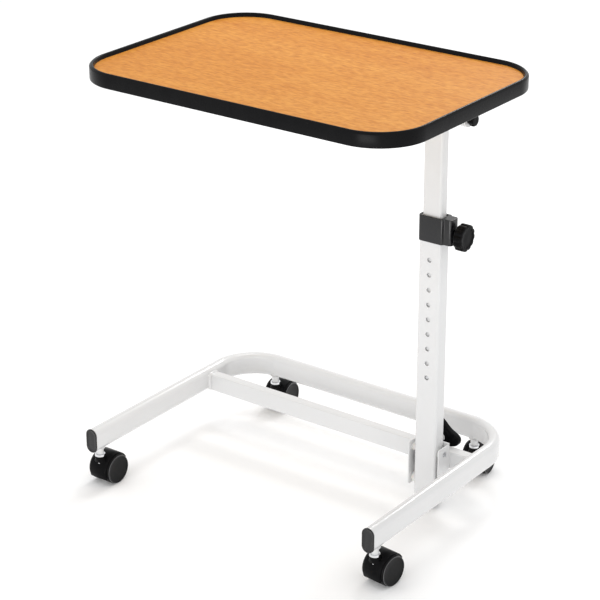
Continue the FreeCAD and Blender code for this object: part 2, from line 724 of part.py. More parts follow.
def main():
    os.makedirs("parts", exist_ok=True)
    shapes = {name: make() for name, make in PARTS.items()}
    for key, (x, y) in CASTERS.items():
        shapes["caster_%s_body" % key] = caster_body(x, y)
        shapes["caster_%s_axle" % key] = caster_axle(x, y)
        shapes["caster_%s_wheel_l" % key] = caster_wheel(x, y, -1)
        shapes["caster_%s_wheel_r" % key] = caster_wheel(x, y, 1)
        for piece in ("body", "axle", "wheel_l", "wheel_r"):
            shapes["caster_%s_%s" % (key, piece)].rotate(V(x, y, 0), V(0, 0, 1), SWIVEL[key])
    total = FreeCAD.BoundBox()
    for name, shape in shapes.items():
        shape.exportStep("parts/%s.step" % name)
        total.add(shape.BoundBox)
        print("%-22s solids %d valid %s volume %9.0f" % (
            name, len(shape.Solids), shape.isValid(), shape.Volume))
    print("box", total)


main()
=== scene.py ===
import json
import math

import bmesh
import bpy
from mathutils import Matrix, Vector


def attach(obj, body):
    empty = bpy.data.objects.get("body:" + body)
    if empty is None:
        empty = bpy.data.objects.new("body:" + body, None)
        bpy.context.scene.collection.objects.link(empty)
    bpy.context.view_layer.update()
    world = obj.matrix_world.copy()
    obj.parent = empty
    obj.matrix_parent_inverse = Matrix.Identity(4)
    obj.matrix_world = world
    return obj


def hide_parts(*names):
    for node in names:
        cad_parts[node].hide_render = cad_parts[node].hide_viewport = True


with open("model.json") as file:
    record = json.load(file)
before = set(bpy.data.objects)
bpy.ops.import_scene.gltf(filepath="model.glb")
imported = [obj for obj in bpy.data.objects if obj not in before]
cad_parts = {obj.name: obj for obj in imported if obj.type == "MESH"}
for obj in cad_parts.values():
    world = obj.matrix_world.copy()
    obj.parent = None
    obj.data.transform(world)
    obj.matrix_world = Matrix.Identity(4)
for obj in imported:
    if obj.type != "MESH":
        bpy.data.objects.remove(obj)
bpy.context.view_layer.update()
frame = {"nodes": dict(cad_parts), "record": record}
nodes = frame["nodes"]
MM = 0.001

# ---------------------------------------------------------------- sizes shared with the CAD, in mm
TOP_L, TOP_W, TOP_Y, TOP_R = 600.0, 418.0, -5.0, 81.0
CREST_Z, RIDGE_Z, RIM_Z0, LAM_Z = 714.3, 711.5, 690.8, 707.8
ARM_X, BAR_Y, FRONT_Y, BEND_R, TUBE_Z = 273.5, 183.5, -228.0, 75.0, 87.0
TUBE_W, TUBE_H = 20.0, 40.0
CROSSBAR_Y0, CROSSBAR_Y1, CROSSBAR_TOP = 69.0, 87.0, 97.5
MAST_X, MAST_Y = 198.0, 54.0
OUTER_TUBE_TOP = 497.0
COLLAR_Z0, COLLAR_Z1 = 459.5, 501.5
WING_Z, KNOB_Z, TILT_Z = 106.0, 475.5, 664.5
WHEEL_R, TRAIL = 25.0, 20.0
HOOD_HALF, HOOD_OUT_R, HOOD_IN_R = 17.5, 28.0, 26.0
HOOD_FIRST, HOOD_LAST = 28.0, 205.0

# each caster's stem place and the angle that it stands turned by at rest, in degrees
CASTERS = {
    "fl": (-ARM_X, -208.0, 0.0),
    "fr": (ARM_X, -208.0, -6.5),
    "rl": (-206.0, 180.77, 5.0),
    "rr": (206.0, 180.77, 8.0),
}

# the camera, in metres and degrees
CAMERA_PLACE = (1.7712, -2.4210, 1.6178)
CAMERA_AZIMUTH, CAMERA_DIP, CAMERA_ROLL = 36.47, 23.27, -0.13
CAMERA_LENS, CAMERA_SENSOR = 123.09, 36.0


# ---------------------------------------------------------------- materials

class Nodes:
    """A few lines to build a node tree with."""

    def __init__(self, name):
        self.mat = bpy.data.materials.new(name)
        self.mat.use_nodes = True
        self.tree = self.mat.node_tree
        self.bsdf = self.tree.nodes["Principled BSDF"]
        self.coords = self.tree.nodes.new("ShaderNodeTexCoord").outputs["Object"]

    def add(self, kind, **values):
        node = self.tree.nodes.new(kind)
        for key, value in values.items():
            if key in node.inputs:
                node.inputs[key].default_value = value
            else:
                setattr(node, key, value)
        return node

    def link(self, a, b):
        self.tree.links.new(a, b)

    def scaled(self, scale):
        m = self.add("ShaderNodeMapping")
        m.inputs["Scale"].default_value = scale
        self.link(self.coords, m.inputs["Vector"])
        return m.outputs["Vector"]

    def noise(self, scale, detail=2.0, rough=0.5, stretch=None, distort=0.0):
        n = self.add("ShaderNodeTexNoise", Scale=scale, Detail=detail, Roughness=rough,
                     Distortion=distort)
        self.link(self.scaled(stretch) if stretch else self.coords, n.inputs["Vector"])
        return n.outputs["Fac"]

    def ramp(self, fac, stops):
        r = self.add("ShaderNodeValToRGB")
        el = r.color_ramp.elements
        while len(el) < len(stops):
            el.new(0.5)
        for e, (pos, col) in zip(el, stops):
            e.position = pos
            e.color = (*col, 1.0) if len(col) == 3 else col
        self.link(fac, r.inputs["Fac"])
        return r.outputs["Color"]

    def span(self, fac, lo, hi, low=0.0, high=1.0):
        m = self.add("ShaderNodeMapRange")
        m.inputs["From Min"].default_value = low
        m.inputs["From Max"].default_value = high
        m.inputs["To Min"].default_value = lo
        m.inputs["To Max"].default_value = hi
        self.link(fac, m.inputs["Value"])
        return m.outputs["Result"]

    def mix(self, fac, a, b, mode="MIX"):
        m = self.add("ShaderNodeMix", data_type="RGBA", blend_type=mode)
        for sock, value in ((m.inputs["Factor"], fac), (m.inputs["A"], a), (m.inputs["B"], b)):
            if isinstance(value, (int, float)):
                sock.default_value = value
            elif isinstance(value, tuple):
                sock.default_value = (*value, 1.0)
            else:
                self.link(value, sock)
        return m.outputs["Result"]

    def bump(self, height, strength, distance, under=None):
        b = self.add("ShaderNodeBump", Strength=strength, Distance=distance)
        self.link(height, b.inputs["Height"])
        if under:
            self.link(under, b.inputs["Normal"])
        return b.outputs["Normal"]

    def finish(self, color=None, rough=None, normal=None, **fixed):
        s = self.bsdf.inputs
        if isinstance(color, tuple):
            s["Base Color"].default_value = (*color, 1.0)
        elif color is not None:
            self.link(color, s["Base Color"])
        if isinstance(rough, (int, float)):
            s["Roughness"].default_value = rough
        elif rough is not None:
            self.link(rough, s["Roughness"])
        if normal is not None:
            self.link(normal, s["Normal"])
        for key, value in fixed.items():
            s[key.replace("_", " ")].default_value = value
        return self.mat


def powder_coat():
    """White polyester powder: glossy, with a faint orange peel and slightly uneven sheen."""
    n = Nodes("white_coat")
    tone = n.noise(7.0, 3.0, 0.6)
    col = n.ramp(tone, [(0.3, (0.700, 0.702, 0.705)), (0.7, (0.725, 0.726, 0.728))])
    normal = n.bump(n.noise(420.0, 2.0, 0.5), 0.05, 0.0001)
    rough = n.span(n.noise(35.0, 4.0, 0.6), 0.20, 0.26, 0.3, 0.7)
    return n.finish(col, rough, normal, Specular_IOR_Level=0.5, Coat_Weight=0.4,
                    Coat_Roughness=0.06)


def moulded_black(name, low, high, gloss, grain, depth, spec=0.06):
    """Moulded plastic: fine spark-eroded grain and a slightly uneven gloss."""
    n = Nodes(name)
    tone = n.noise(60.0, 4.0, 0.6)
    col = n.ramp(tone, [(0.3, low), (0.7, high)])
    rough = n.span(n.noise(120.0, 3.0, 0.6), gloss - 0.05, gloss + 0.06, 0.3, 0.7)
    normal = n.bump(n.noise(grain, 2.0, 0.6), depth, 0.0002)
    return n.finish(col, rough, normal, Specular_IOR_Level=spec)


def gloss_black():
    """Polished moulding, with a barely wavy skin."""
    n = Nodes("gloss_black")
    col = n.ramp(n.noise(40.0, 3.0), [(0.3, (0.006, 0.006, 0.007)), (0.7, (0.009, 0.009, 0.010))])
    rough = n.span(n.noise(90.0, 4.0, 0.7), 0.20, 0.27, 0.3, 0.7)
    normal = n.bump(n.noise(160.0, 1.0), 0.05, 0.0002)
    return n.finish(col, rough, normal, Specular_IOR_Level=0.5)


def edge_rubber():
    """Soft extruded edging: a satin skin with very slight draw lines."""
    n = Nodes("edge_rubber")
    col = n.ramp(n.noise(45.0, 4.0, 0.6), [(0.3, (0.0035, 0.0035, 0.0040)),
                                           (0.7, (0.0055, 0.0055, 0.0060))])
    rough = n.span(n.noise(70.0, 4.0, 0.65), 0.24, 0.32, 0.3, 0.7)
    normal = n.bump(n.noise(1300.0, 2.0, 0.6), 0.05, 0.0002)
    return n.finish(col, rough, normal, Specular_IOR_Level=0.09)


def beech_laminate():
    """Printed beech: broad straight figure along X, short dark flecks, fine pore lines."""
    n = Nodes("beech_laminate")
    broad = n.noise(1.0, 4.0, 0.6, stretch=(1.6, 22.0, 1.0), distort=0.4)
    bands = n.noise(1.0, 3.0, 0.55, stretch=(6.0, 80.0, 1.0), distort=0.3)
    fine = n.noise(1.0, 2.0, 0.5, stretch=(75.0, 230.0, 1.0), distort=0.2)
    flecks = n.noise(1.0, 1.0, 0.5, stretch=(60.0, 330.0, 1.0))
    pores = n.noise(1.0, 2.0, 0.6, stretch=(140.0, 900.0, 1.0))
    base = n.ramp(broad, [(0.30, (0.635, 0.242, 0.031)), (0.50, (0.665, 0.266, 0.038)),
                          (0.72, (0.695, 0.292, 0.048))])
    streak = n.ramp(bands, [(0.30, (0.96, 0.92, 0.86)), (0.50, (1.0, 1.0, 1.0)),
                            (0.72, (1.02, 1.04, 1.07))])
    col = n.mix(1.0, base, streak, "MULTIPLY")
    lines = n.ramp(fine, [(0.30, (0.86, 0.77, 0.62)), (0.50, (0.99, 0.98, 0.96)),
                          (0.70, (1.09, 1.17, 1.30))])
    col = n.mix(1.0, col, lines, "MULTIPLY")
    marks = n.ramp(flecks, [(0.28, (0.84, 0.72, 0.56)), (0.40, (1.0, 1.0, 1.0))])
    col = n.mix(0.9, col, marks, "MULTIPLY")
    col = n.mix(0.7, col, n.ramp(pores, [(0.30, (0.80, 0.72, 0.60)), (0.44, (1.0, 1.0, 1.0))]),
                "MULTIPLY")
    rough = n.span(pores, 0.42, 0.52, 0.3, 0.7)
    normal = n.bump(pores, 0.10, 0.0001)
    normal = n.bump(n.noise(700.0, 2.0), 0.05, 0.0001, normal)
    return n.finish(col, rough, normal, Specular_IOR_Level=0.12)


def particle_board():
    """Underside: pale balancing foil with a chip pattern showing through."""
    n = Nodes("panel_core")
    chips = n.add("ShaderNodeTexVoronoi", Scale=260.0)
    n.link(n.coords, chips.inputs["Vector"])
    chip_tone = n.span(chips.outputs["Distance"], 0.0, 1.0)
    col = n.ramp(chip_tone, [(0.1, (0.50, 0.36, 0.22)), (0.6, (0.62, 0.48, 0.32))])
    col = n.mix(0.5, col, n.ramp(n.noise(30.0, 4.0), [(0.3, (0.50, 0.38, 0.25)),
                                                      (0.7, (0.64, 0.50, 0.34))]))
    normal = n.bump(chip_tone, 0.1, 0.0003)
    return n.finish(col, 0.62, normal, Specular_IOR_Level=0.3)


def metal(name, color, rough, grain, depth):
    """Plated steel: patchy brightness and a fine grain."""
    n = Nodes(name)
    dark = tuple(c * 0.86 for c in color)
    col = n.ramp(n.noise(150.0, 4.0, 0.65), [(0.35, dark), (0.65, color)])
    r = n.span(n.noise(220.0, 4.0, 0.65), rough * 0.8, rough * 1.3, 0.3, 0.7)
    normal = n.bump(n.noise(grain, 2.0, 0.6), depth, 0.0001)
    return n.finish(col, r, normal, Metallic=1.0)


def nylon():
    """Natural nylon, slightly translucent."""
    n = Nodes("nylon")
    col = n.ramp(n.noise(90.0, 3.0), [(0.3, (0.74, 0.73, 0.70)), (0.7, (0.80, 0.79, 0.76))])
    normal = n.bump(n.noise(700.0, 2.0), 0.06, 0.0002)
    return n.finish(col, 0.42, normal, Specular_IOR_Level=0.4, Subsurface_Weight=0.1,
                    Subsurface_Scale=0.003)


def wheel_plastic():
    """Hard wheel: faint rolling scuffs on the tread."""
    n = Nodes("wheel_plastic")
    scuff = n.noise(1.0, 4.0, 0.7, stretch=(900.0, 120.0, 120.0))
    col = n.ramp(scuff, [(0.35, (0.003, 0.003, 0.0035)), (0.62, (0.005, 0.005, 0.0055)),
                         (0.80, (0.012, 0.012, 0.013))])
    rough = n.span(scuff, 0.30, 0.44, 0.3, 0.7)
    normal = n.bump(n.noise(900.0, 3.0, 0.6), 0.06, 0.0002)
    return n.finish(col, rough, normal, Specular_IOR_Level=0.13)


MATS = {
    "white_coat": powder_coat(),
    "black_plastic": moulded_black("black_plastic", (0.0028, 0.0028, 0.0032),
                                   (0.0045, 0.0045, 0.0050), 0.36, 1100.0, 0.10),
    "gloss_black": gloss_black(),
    "edge_rubber": edge_rubber(),
    "beech_laminate": beech_laminate(),
    "panel_core": particle_board(),
    "zinc_steel": metal("zinc_steel", (0.66, 0.67, 0.69), 0.30, 500.0, 0.08),
    "chrome": metal("chrome", (0.80, 0.81, 0.83), 0.10, 300.0, 0.03),
    "nylon": nylon(),
    "wheel_plastic": wheel_plastic(),
    # Light grey wheel lip colour: a painted highlight standing in for the shine on the wheel cap's
    # edge.
    "wheel_lip_painted_highlight": moulded_black("wheel_lip_painted_highlight", (0.075, 0.075, 0.078), (0.11, 0.11, 0.113),
                               0.22, 900.0, 0.05, spec=0.5),
}


# ---------------------------------------------------------------- mesh helpers

def finish_piece(name, bm, body, slot, replaced=(), angle=38.0, merge=True):
    """Makes an object of bm, smooth but for edges over angle, with its slot's material on its body,
    and hides the parts it replaces.
    """
    if merge:
        bmesh.ops.remove_doubles(bm, verts=bm.verts, dist=1e-6)
    bmesh.ops.recalc_face_normals(bm, faces=bm.faces)
    mesh = bpy.data.meshes.new(name)
    bm.to_mesh(mesh)
    bm.free()
    mesh.polygons.foreach_set("use_smooth", [True] * len(mesh.polygons))
    mesh.set_sharp_from_angle(angle=math.radians(angle))
    obj = bpy.data.objects.new(name, mesh)
    bpy.context.scene.collection.objects.link(obj)
    obj.data.materials.append(MATS[slot])
    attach(obj, body)
    if replaced:
        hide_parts(*replaced)
    return obj


def loft(bm, loops, closed=False):
    """Quads between equal point loops (mm); closed joins the last to the first, open is capped."""
    rings = [[bm.verts.new(Vector(p) * MM) for p in loop] for loop in loops]
    pairs = list(zip(rings, rings[1:]))
    if closed:
        pairs.append((rings[-1], rings[0]))
    for a, b in pairs:
        for i in range(len(a)):
            j = (i + 1) % len(a)
            quad = [a[i], a[j], b[j], b[i]]
            if len(set(quad)) > 2:
                bm.faces.new(quad)
    if not closed:
        bm.faces.new(rings[0])
        bm.faces.new(rings[-1])


def inset(outline, d):
    """Moves a closed 2-D outline (counter-clockwise) inwards by d."""
    out = []
    count = len(outline)
    for i in range(count):
        ax, ay = outline[i - 1]
        bx, by = outline[(i + 1) % count]
        tx, ty = bx - ax, by - ay
        length = math.hypot(tx, ty) or 1.0
        out.append((outline[i][0] - d * ty / length, outline[i][1] + d * tx / length))
    return out


def rounded_rect(cx, cy, length, width, r, steps):
    """Points round a rectangle with quarter-circle corners, counter-clockwise."""
    pts = []
    corners = ((1, 1, 0), (-1, 1, 90), (-1, -1, 180), (1, -1, 270))
    for sx, sy, start in corners:
        for i in range(steps + 1):
            a = math.radians(start + 90.0 * i / steps)
            pts.append((cx + sx * (length / 2 - r) + r * math.cos(a),
                        cy + sy * (width / 2 - r) + r * math.sin(a)))
    return pts


def lathe_x(bm, profile, y, z, steps, radius_of=None):
    """Turns (x, r) points round an X axis; radius_of(r, angle) may vary the radius."""
    loops = []
    for x, r in profile:
        loop = []
        for i in range(steps):
            a = 2 * math.pi * i / steps
            rr = radius_of(r, a) if radius_of else r
            loop.append((x, y + rr * math.cos(a), z + rr * math.sin(a)))
        loops.append(loop)
    loft(bm, loops)


def lathe_z(bm, profile, x, y, steps=40, closed=False, bend=None):
    """Turns (z, r) points round a Z axis; bend(px, py, pz) may move a point."""
    loops = []
    for z, r in profile:
        loop = []
        for px, py in circle(0.0, 0.0, r, steps):
            px, py, pz = bend(px, py, z) if bend else (px, py, z)
            loop.append((x + px, y + py, pz))
        loops.append(loop)
    loft(bm, loops, closed=closed)


def circle(cx, cy, r, steps):
    turn = 2 * math.pi / steps
    return [(cx + r * math.cos(turn * i), cy + r * math.sin(turn * i)) for i in range(steps)]


def arc_points(cx, cy, r, start, end, steps):
    return [(cx + r * math.cos(math.radians(start + (end - start) * i / steps)),
             cy + r * math.sin(math.radians(start + (end - start) * i / steps)))
            for i in range(steps + 1)]


# ---------------------------------------------------------------- tabletop edging

def edge_rim():
    """Extruded edging: flat outer face, a ridge line, and a raised round bead round the panel."""
    # (inset from the outline, height), from the ridge over the bead, inside and back underneath
    section = [(0.0, RIDGE_Z - 0.9), (0.12, RIDGE_Z - 0.3), (0.5, RIDGE_Z + 0.05),
               (0.95, RIDGE_Z + 0.35), (1.5, RIDGE_Z + 1.1)]
    section += [(2.1, CREST_Z - 1.0), (2.9, CREST_Z - 0.35), (3.7, CREST_Z - 0.05), (4.4, CREST_Z)]
    section += [(5.1, CREST_Z - 0.15), (5.8, CREST_Z - 0.6), (6.4, CREST_Z - 1.4),
                (6.9, CREST_Z - 2.5), (7.3, LAM_Z + 2.4), (7.6, LAM_Z + 0.8), (8.0, LAM_Z + 0.02)]
    section += [(8.0, LAM_Z - 0.8), (4.6, LAM_Z - 0.8), (4.6, RIM_Z0 + 2.0), (6.0, RIM_Z0 + 2.0),
                (6.0, RIM_Z0 + 0.2), (5.8, RIM_Z0)]
    section += [(1.4, RIM_Z0), (0.6, RIM_Z0 + 0.25), (0.15, RIM_Z0 + 0.7), (0.0, RIM_Z0 + 1.4)]
    bm = bmesh.new()
    loft(bm, [[(x, y, z) for x, y in top_outline(d)] for d, z in section], closed=True)
    return finish_piece("edge_rim_soft", bm, "tabletop", "edge_rubber", ("edge_rim",), 50.0)


def top_outline(d):
    """The tabletop's plan, moved inwards by d."""
    return rounded_rect(0, TOP_Y, TOP_L - 2 * d, TOP_W - 2 * d, TOP_R - d, 40)


# ---------------------------------------------------------------- base frame pieces

def stadium(w, h, steps):
    """Flat-oval outline, counter-clockwise, as (across, up)."""
    r = w / 2
    s = h / 2 - r
    top = arc_points(0, s, r, 0, 180, steps)
    low = arc_points(0, -s, r, 180, 360, steps)
    return top + low


def u_stations(y_front, bend_steps=28):
    """Centre-line points, directions and how far each is into a bend (0 to 1)."""
    r = BEND_R
    yb, xb = BAR_Y - r, ARM_X - r
    out = [((-ARM_X, y_front), (0, 1), 0.0), ((-ARM_X, yb), (0, 1), 0.0)]
    for first, cx in ((180, -xb), (90, xb)):
        for i in range(bend_steps + 1):
            a = math.radians(first - 90 * i / bend_steps)
            depth = math.sin(math.pi * i / bend_steps) ** 0.5
            out.append(((cx + r * math.cos(a), yb + r * math.sin(a)),
                        (math.sin(a), -math.cos(a)), depth))
    out.append(((ARM_X, y_front), (0, -1), 0.0))
    return out


def base_tube():
    """Flat-oval tube; bending has drawn the inner wall of each corner in a little."""
    bm = bmesh.new()
    outline = tall_stadium(TUBE_W, TUBE_H)
    draw_in, reach = 2.6, 13.5
    loops = []
    for (x, y), (dx, dy), depth in u_stations(FRONT_Y + 2.5):
        loop = []
        for a, b in outline:
            if a > 0:
                share = max(0.0, 1.0 - (b / reach) ** 6)
                a -= draw_in * depth * share * (a / (TUBE_W / 2))
            loop.append((x + a * dy, y - a * dx, TUBE_Z + b))
        loops.append(loop)
    loft(bm, loops)
    return finish_piece("base_tube_smooth", bm, "base", "white_coat", ("base_tube",), 60.0)


def tall_stadium(w, h, side_steps=14):
    """The flat-oval outline with points along its straight sides too."""
    r = w / 2
    s = h / 2 - r
    side = [s * (1 - 2 * i / side_steps) for i in range(1, side_steps)]
    return (arc_points(0, s, r, 0, 180, 18) + [(-r, z) for z in side]
            + arc_points(0, -s, r, 180, 360, 18) + [(r, -z) for z in side])


def end_caps():
    """Push-in caps with a flange a little wider than the tube and a shallow dished face."""
    bm = bmesh.new()
    lip = 0.9
    steps = [(1.2 - lip, FRONT_Y + 2.5), (-lip, FRONT_Y + 2.3), (-lip, FRONT_Y + 1.0),
             (0.3 - lip, FRONT_Y + 0.35), (0.9 - lip, FRONT_Y), (1.7 - lip, FRONT_Y),
             (2.2 - lip, FRONT_Y + 0.3), (2.6 - lip, FRONT_Y + 1.2), (3.4 - lip, FRONT_Y + 1.6),
             (6.0, FRONT_Y + 1.35), (8.6, FRONT_Y + 1.25)]
    for x in (-ARM_X, ARM_X):
        loops = [[(x + a, y, TUBE_Z + b) for a, b in stadium(TUBE_W - 2 * d, TUBE_H - 2 * d, 18)]
                 for d, y in steps]
        loft(bm, loops)
    return finish_piece("end_caps_dished", bm, "base", "gloss_black", ("end_caps",), 40.0)


def weld_bead(bm, points, normal, r):
    """A row of overlapping low scales, as a MIG weld leaves."""
    up = Vector(normal).normalized()
    for a, b in zip(points, points[1:]):
        a, b = Vector(a), Vector(b)
        count = max(2, int((b - a).length / (r * 0.9)))
        along = (b - a).normalized()
        side = along.cross(up)
        for i in range(count):
            centre = a.lerp(b, (i + 0.5) / count)
            shape = Matrix((
                (*(along * r * 1.15 * MM), 0.0),
                (*(side * r * MM), 0.0),
                (*(up * r * 0.62 * MM), 0.0),
                (0.0, 0.0, 0.0, 1.0),
            )).transposed()
            placed = Matrix.Translation(centre * MM) @ shape
            bmesh.ops.create_uvsphere(bm, u_segments=10, v_segments=6, radius=1.0, matrix=placed)


def weld_beads():
    """Fillets of the crossbar, the mast bracket, the threaded boss and the caster sockets."""
    bm = bmesh.new()
    y0, y1 = CROSSBAR_Y0, CROSSBAR_Y1
    over = CROSSBAR_TOP + 0.1
    for s in (-1, 1):
        x = s * (ARM_X - 10.6)
        weld_bead(bm, [(x, y0 - 1.6, 71.0), (x, y0 - 1.6, 96.0)], (-s, -1, 0), 4.2)
        weld_bead(bm, [(x, y1 + 1.2, 74.0), (x, y1 + 1.2, 96.0)], (-s, 1, 0), 3.4)
        weld_bead(bm, [(x + s * 0.6, y0 - 0.5, over), (x + s * 0.6, y1, over)], (-s, 0, 1), 2.6)
    for s in (-1, 1):
        x = MAST_X + s * 29.0
        weld_bead(bm, [(x, y0 - 0.4, 71.0), (x, y0 - 0.4, 95.0)], (s, -1, 0), 1.4)
    weld_bead(bm, [(x, y0 + 0.4, z) for x, z in closed_ring(MAST_X, WING_Z, 6.8)], (0, 1, 0), 1.2)
    for cx, cy, _ in CASTERS.values():
        ring = [(x, y, 68.2 + 1.4 * ((y - cy) / 7.9) ** 2) for x, y in closed_ring(cx, cy, 7.9)]
        weld_bead(bm, ring, (0, 0, 1), 1.3)
    return finish_piece("weld_beads", bm, "base", "white_coat", (), 60.0, merge=False)


def closed_ring(cx, cy, r, steps=18):
    """A circle whose last point is its first again."""
    return arc_points(cx, cy, r, 0.0, 360.0, steps)


def head_welds():
    """Fillets where the head tube crosses the top of the mast."""
    bm = bmesh.new()
    for s in (-1, 1):
        x = MAST_X + s * 17.6
        pts = [(x, MAST_Y + 12.6 * math.cos(a), TILT_Z + 12.6 * math.sin(a))
               for a in [math.radians(200 + 140 * i / 12) for i in range(13)]]
        weld_bead(bm, pts, (s, 0, -1), 1.6)
    return finish_piece("head_welds", bm, "upper_mast", "white_coat", (), 60.0, merge=False)


def turned_at_casters(name, profile, slot, replaced=()):
    """One ring of (height, radius) points at each caster's stem."""
    bm = bmesh.new()
    for x, y, _ in CASTERS.values():
        lathe_z(bm, profile, x, y, closed=True)
    return finish_piece(name, bm, "base", slot, replaced)


def caster_sockets():
    profile = [(57.0, 5.05), (57.0, 5.7), (57.7, 6.1), (63.0, 6.35), (67.0, 6.8), (70.0, 7.5),
               (74.0, 7.5), (74.0, 5.05)]
    return turned_at_casters("caster_sockets_turned", profile, "white_coat", ("caster_sockets",))


def caster_collars():
    """Bright bearing race between each socket and its caster."""
    profile = [(53.5, 5.05), (53.5, 6.2), (53.9, 6.7), (55.8, 6.75), (56.4, 6.4), (56.8, 5.8),
               (56.8, 5.05)]
    return turned_at_casters("caster_collars", profile, "chrome")


# ---------------------------------------------------------------- collar and knobs

def collar_outline():
    """Plan of the collar: rounded body with the rounder clamp block on its +X side."""
    hx, hy, r = 21.75, 14.0, 5.5
    bx, by, br = 235.0 - MAST_X, 10.5, 5.2
    pts = []
    pts += arc_points(bx - br, by - br, br, 0, 90, 10)
    pts += arc_points(hx + 2.6, by + 1.2, 1.2, 270, 190, 5)
    pts += arc_points(hx - 1.6, hy - 3.0, 3.0, 10, 90, 9)
    pts += arc_points(-hx + r, hy - r, r, 90, 180, 12)
    pts += arc_points(-hx + r, -hy + r, r, 180, 270, 12)
    pts += arc_points(hx - 1.6, -hy + 3.0, 3.0, 270, 350, 9)
    pts += arc_points(hx + 2.6, -by - 1.2, 1.2, 170, 90, 5)
    pts += arc_points(bx - br, -by + br, br, 270, 360, 10)
    return [(MAST_X + x, MAST_Y + y) for x, y in pts]


def collar():
    """Clamp collar round the outer tube's top, with a rolled lip down to the inner tube."""
    z0, z1 = COLLAR_Z0, COLLAR_Z1
    outer = collar_outline()
    bm = bmesh.new()
    steps = [(1.0, z0), (0.4, z0 + 0.15), (0.0, z0 + 0.7), (0.0, z1 - 0.9), (0.15, z1 - 0.4),
             (0.5, z1 - 0.08), (1.1, z1)]
    loops = [[(x, y, z) for x, y in inset(outer, d)] for d, z in steps]
    hole = ring_like(outer, 17.8, 10.3, 4.8)
    inner_low = ring_like(outer, 20.05, 12.55, 4.05)
    within = [(z1 - 0.05, ring_like(outer, 19.4, 12.0, 5.4)),
              (z1 - 1.6, ring_like(outer, 18.6, 11.2, 5.2)), (z1 - 1.8, hole),
              (OUTER_TUBE_TOP, hole), (OUTER_TUBE_TOP, inner_low), (z0, inner_low)]
    loops += [[(x, y, z) for x, y in ring] for z, ring in within]
    loft(bm, loops, closed=True)
    return finish_piece("collar_moulded", bm, "lower_mast", "gloss_black", ("collar",), 32.0)


def ring_like(outer, hx, hy, r):
    """Points on a rounded rectangle, one for each point of outer, by direction from the centre."""
    out = []
    for x, y in outer:
        a = math.atan2((y - MAST_Y) / hy, (x - MAST_X) / hx)
        out.append(rounded_hit(a, hx, hy, r))
    return out


def rounded_hit(angle, hx, hy, r):
    """Where the ray (cos a * hx, sin a * hy) meets a rounded rectangle."""
    dx, dy = math.cos(angle) * hx, math.sin(angle) * hy
    lo, hi = 0.0, 2.0
    for _ in range(40):
        mid = (lo + hi) / 2
        qx = max(abs(dx * mid) - (hx - r), 0.0)
        qy = max(abs(dy * mid) - (hy - r), 0.0)
        inside = math.hypot(qx, qy) <= r and abs(dx * mid) <= hx and abs(dy * mid) <= hy
        if inside:
            lo = mid
        else:
            hi = mid
    return (MAST_X + dx * lo, MAST_Y + dy * lo)


def fluted(count, depth, phase, full, plain):
    """Radius rule for a hand knob of radius full: rounded flutes, none where r is under plain."""
    def rule(r, a):
        if r < plain:
            return r
        wave = math.cos(count * (a - phase)) * 0.5 + 0.5
        return r - depth * (wave ** 2.2) * min(1.0, r / full)
    return rule


def height_knob():
    """Round fluted hand knob with a raised rim on its face; the profile is (x, radius)."""
    x0, face, big = 236.0, 258.0, 21.6
    back = face - 14.0
    rule = fluted(12, 1.5, 0.1, big, 9.9)
    profile = [(x0, 4.6), (x0, 8.0), (x0 + 0.5, 8.5), (back - 1.5, 11.4), (back - 0.4, 12.6),
               (back - 0.05, 15.0), (back, 19.0), (back + 0.25, 20.6), (back + 0.9, 21.3),
               (back + 1.9, big), (face - 3.0, big), (face - 1.6, 21.35), (face - 0.6, 20.9),
               (face - 0.12, 19.6), (face, 17.8), (face - 0.05, 16.4), (face - 0.7, 15.6),
               (face - 0.95, 14.6), (face - 1.0, 9.0), (face - 0.8, 4.0), (face - 0.75, 0.4)]
    bm = bmesh.new()
    lathe_x(bm, profile, MAST_Y, KNOB_Z, 144, rule)
    return finish_piece("height_knob_fluted", bm, "height_knob", "black_plastic",
                        ("height_knob",), 34.0)


def tilt_knob():
    """Small fluted nut; the profile is (x, radius)."""
    x0, face, big = 254.4, 265.5, 9.5
    back = face - 8.0
    rule = fluted(7, 0.9, 0.2, big, 8.91)
    profile = [(x0, 4.4), (x0, 6.6), (x0 + 0.4, 7.0), (back - 0.4, 7.1), (back, 7.6),
               (back + 0.1, 8.4), (back + 0.7, 9.2), (back + 1.4, big), (face - 1.6, big),
               (face - 0.7, 9.2), (face - 0.15, 8.4), (face, 7.4), (face, 3.0),
               (face - 0.1, 0.3)]
    bm = bmesh.new()
    lathe_x(bm, profile, MAST_Y, TILT_Z, 112, rule)
    return finish_piece("tilt_knob_fluted", bm, "tilt_knob", "black_plastic", ("tilt_knob",), 34.0)


def lobed_outline(tip_reach, tip_r, sink, first, side_steps=14, tip_steps=12):
    """Three round lobes joined by sides that sink a little; (across, up), counter-clockwise."""
    pts = []
    for i in range(3):
        a = first + 120 * i
        cx = tip_reach * math.cos(math.radians(a))
        cy = tip_reach * math.sin(math.radians(a))
        pts += arc_points(cx, cy, tip_r, a - 60, a + 60, tip_steps)
        nx = math.cos(math.radians(a + 60))
        ny = math.sin(math.radians(a + 60))
        b = a + 120
        ex = tip_reach * math.cos(math.radians(b)) + tip_r * nx
        ey = tip_reach * math.sin(math.radians(b)) + tip_r * ny
        sx, sy = cx + tip_r * nx, cy + tip_r * ny
        for k in range(1, side_steps):
            t = k / side_steps
            dip = sink * math.sin(math.pi * t) ** 2
            pts.append((sx + (ex - sx) * t - nx * dip, sy + (ey - sy) * t - ny * dip))
    return pts


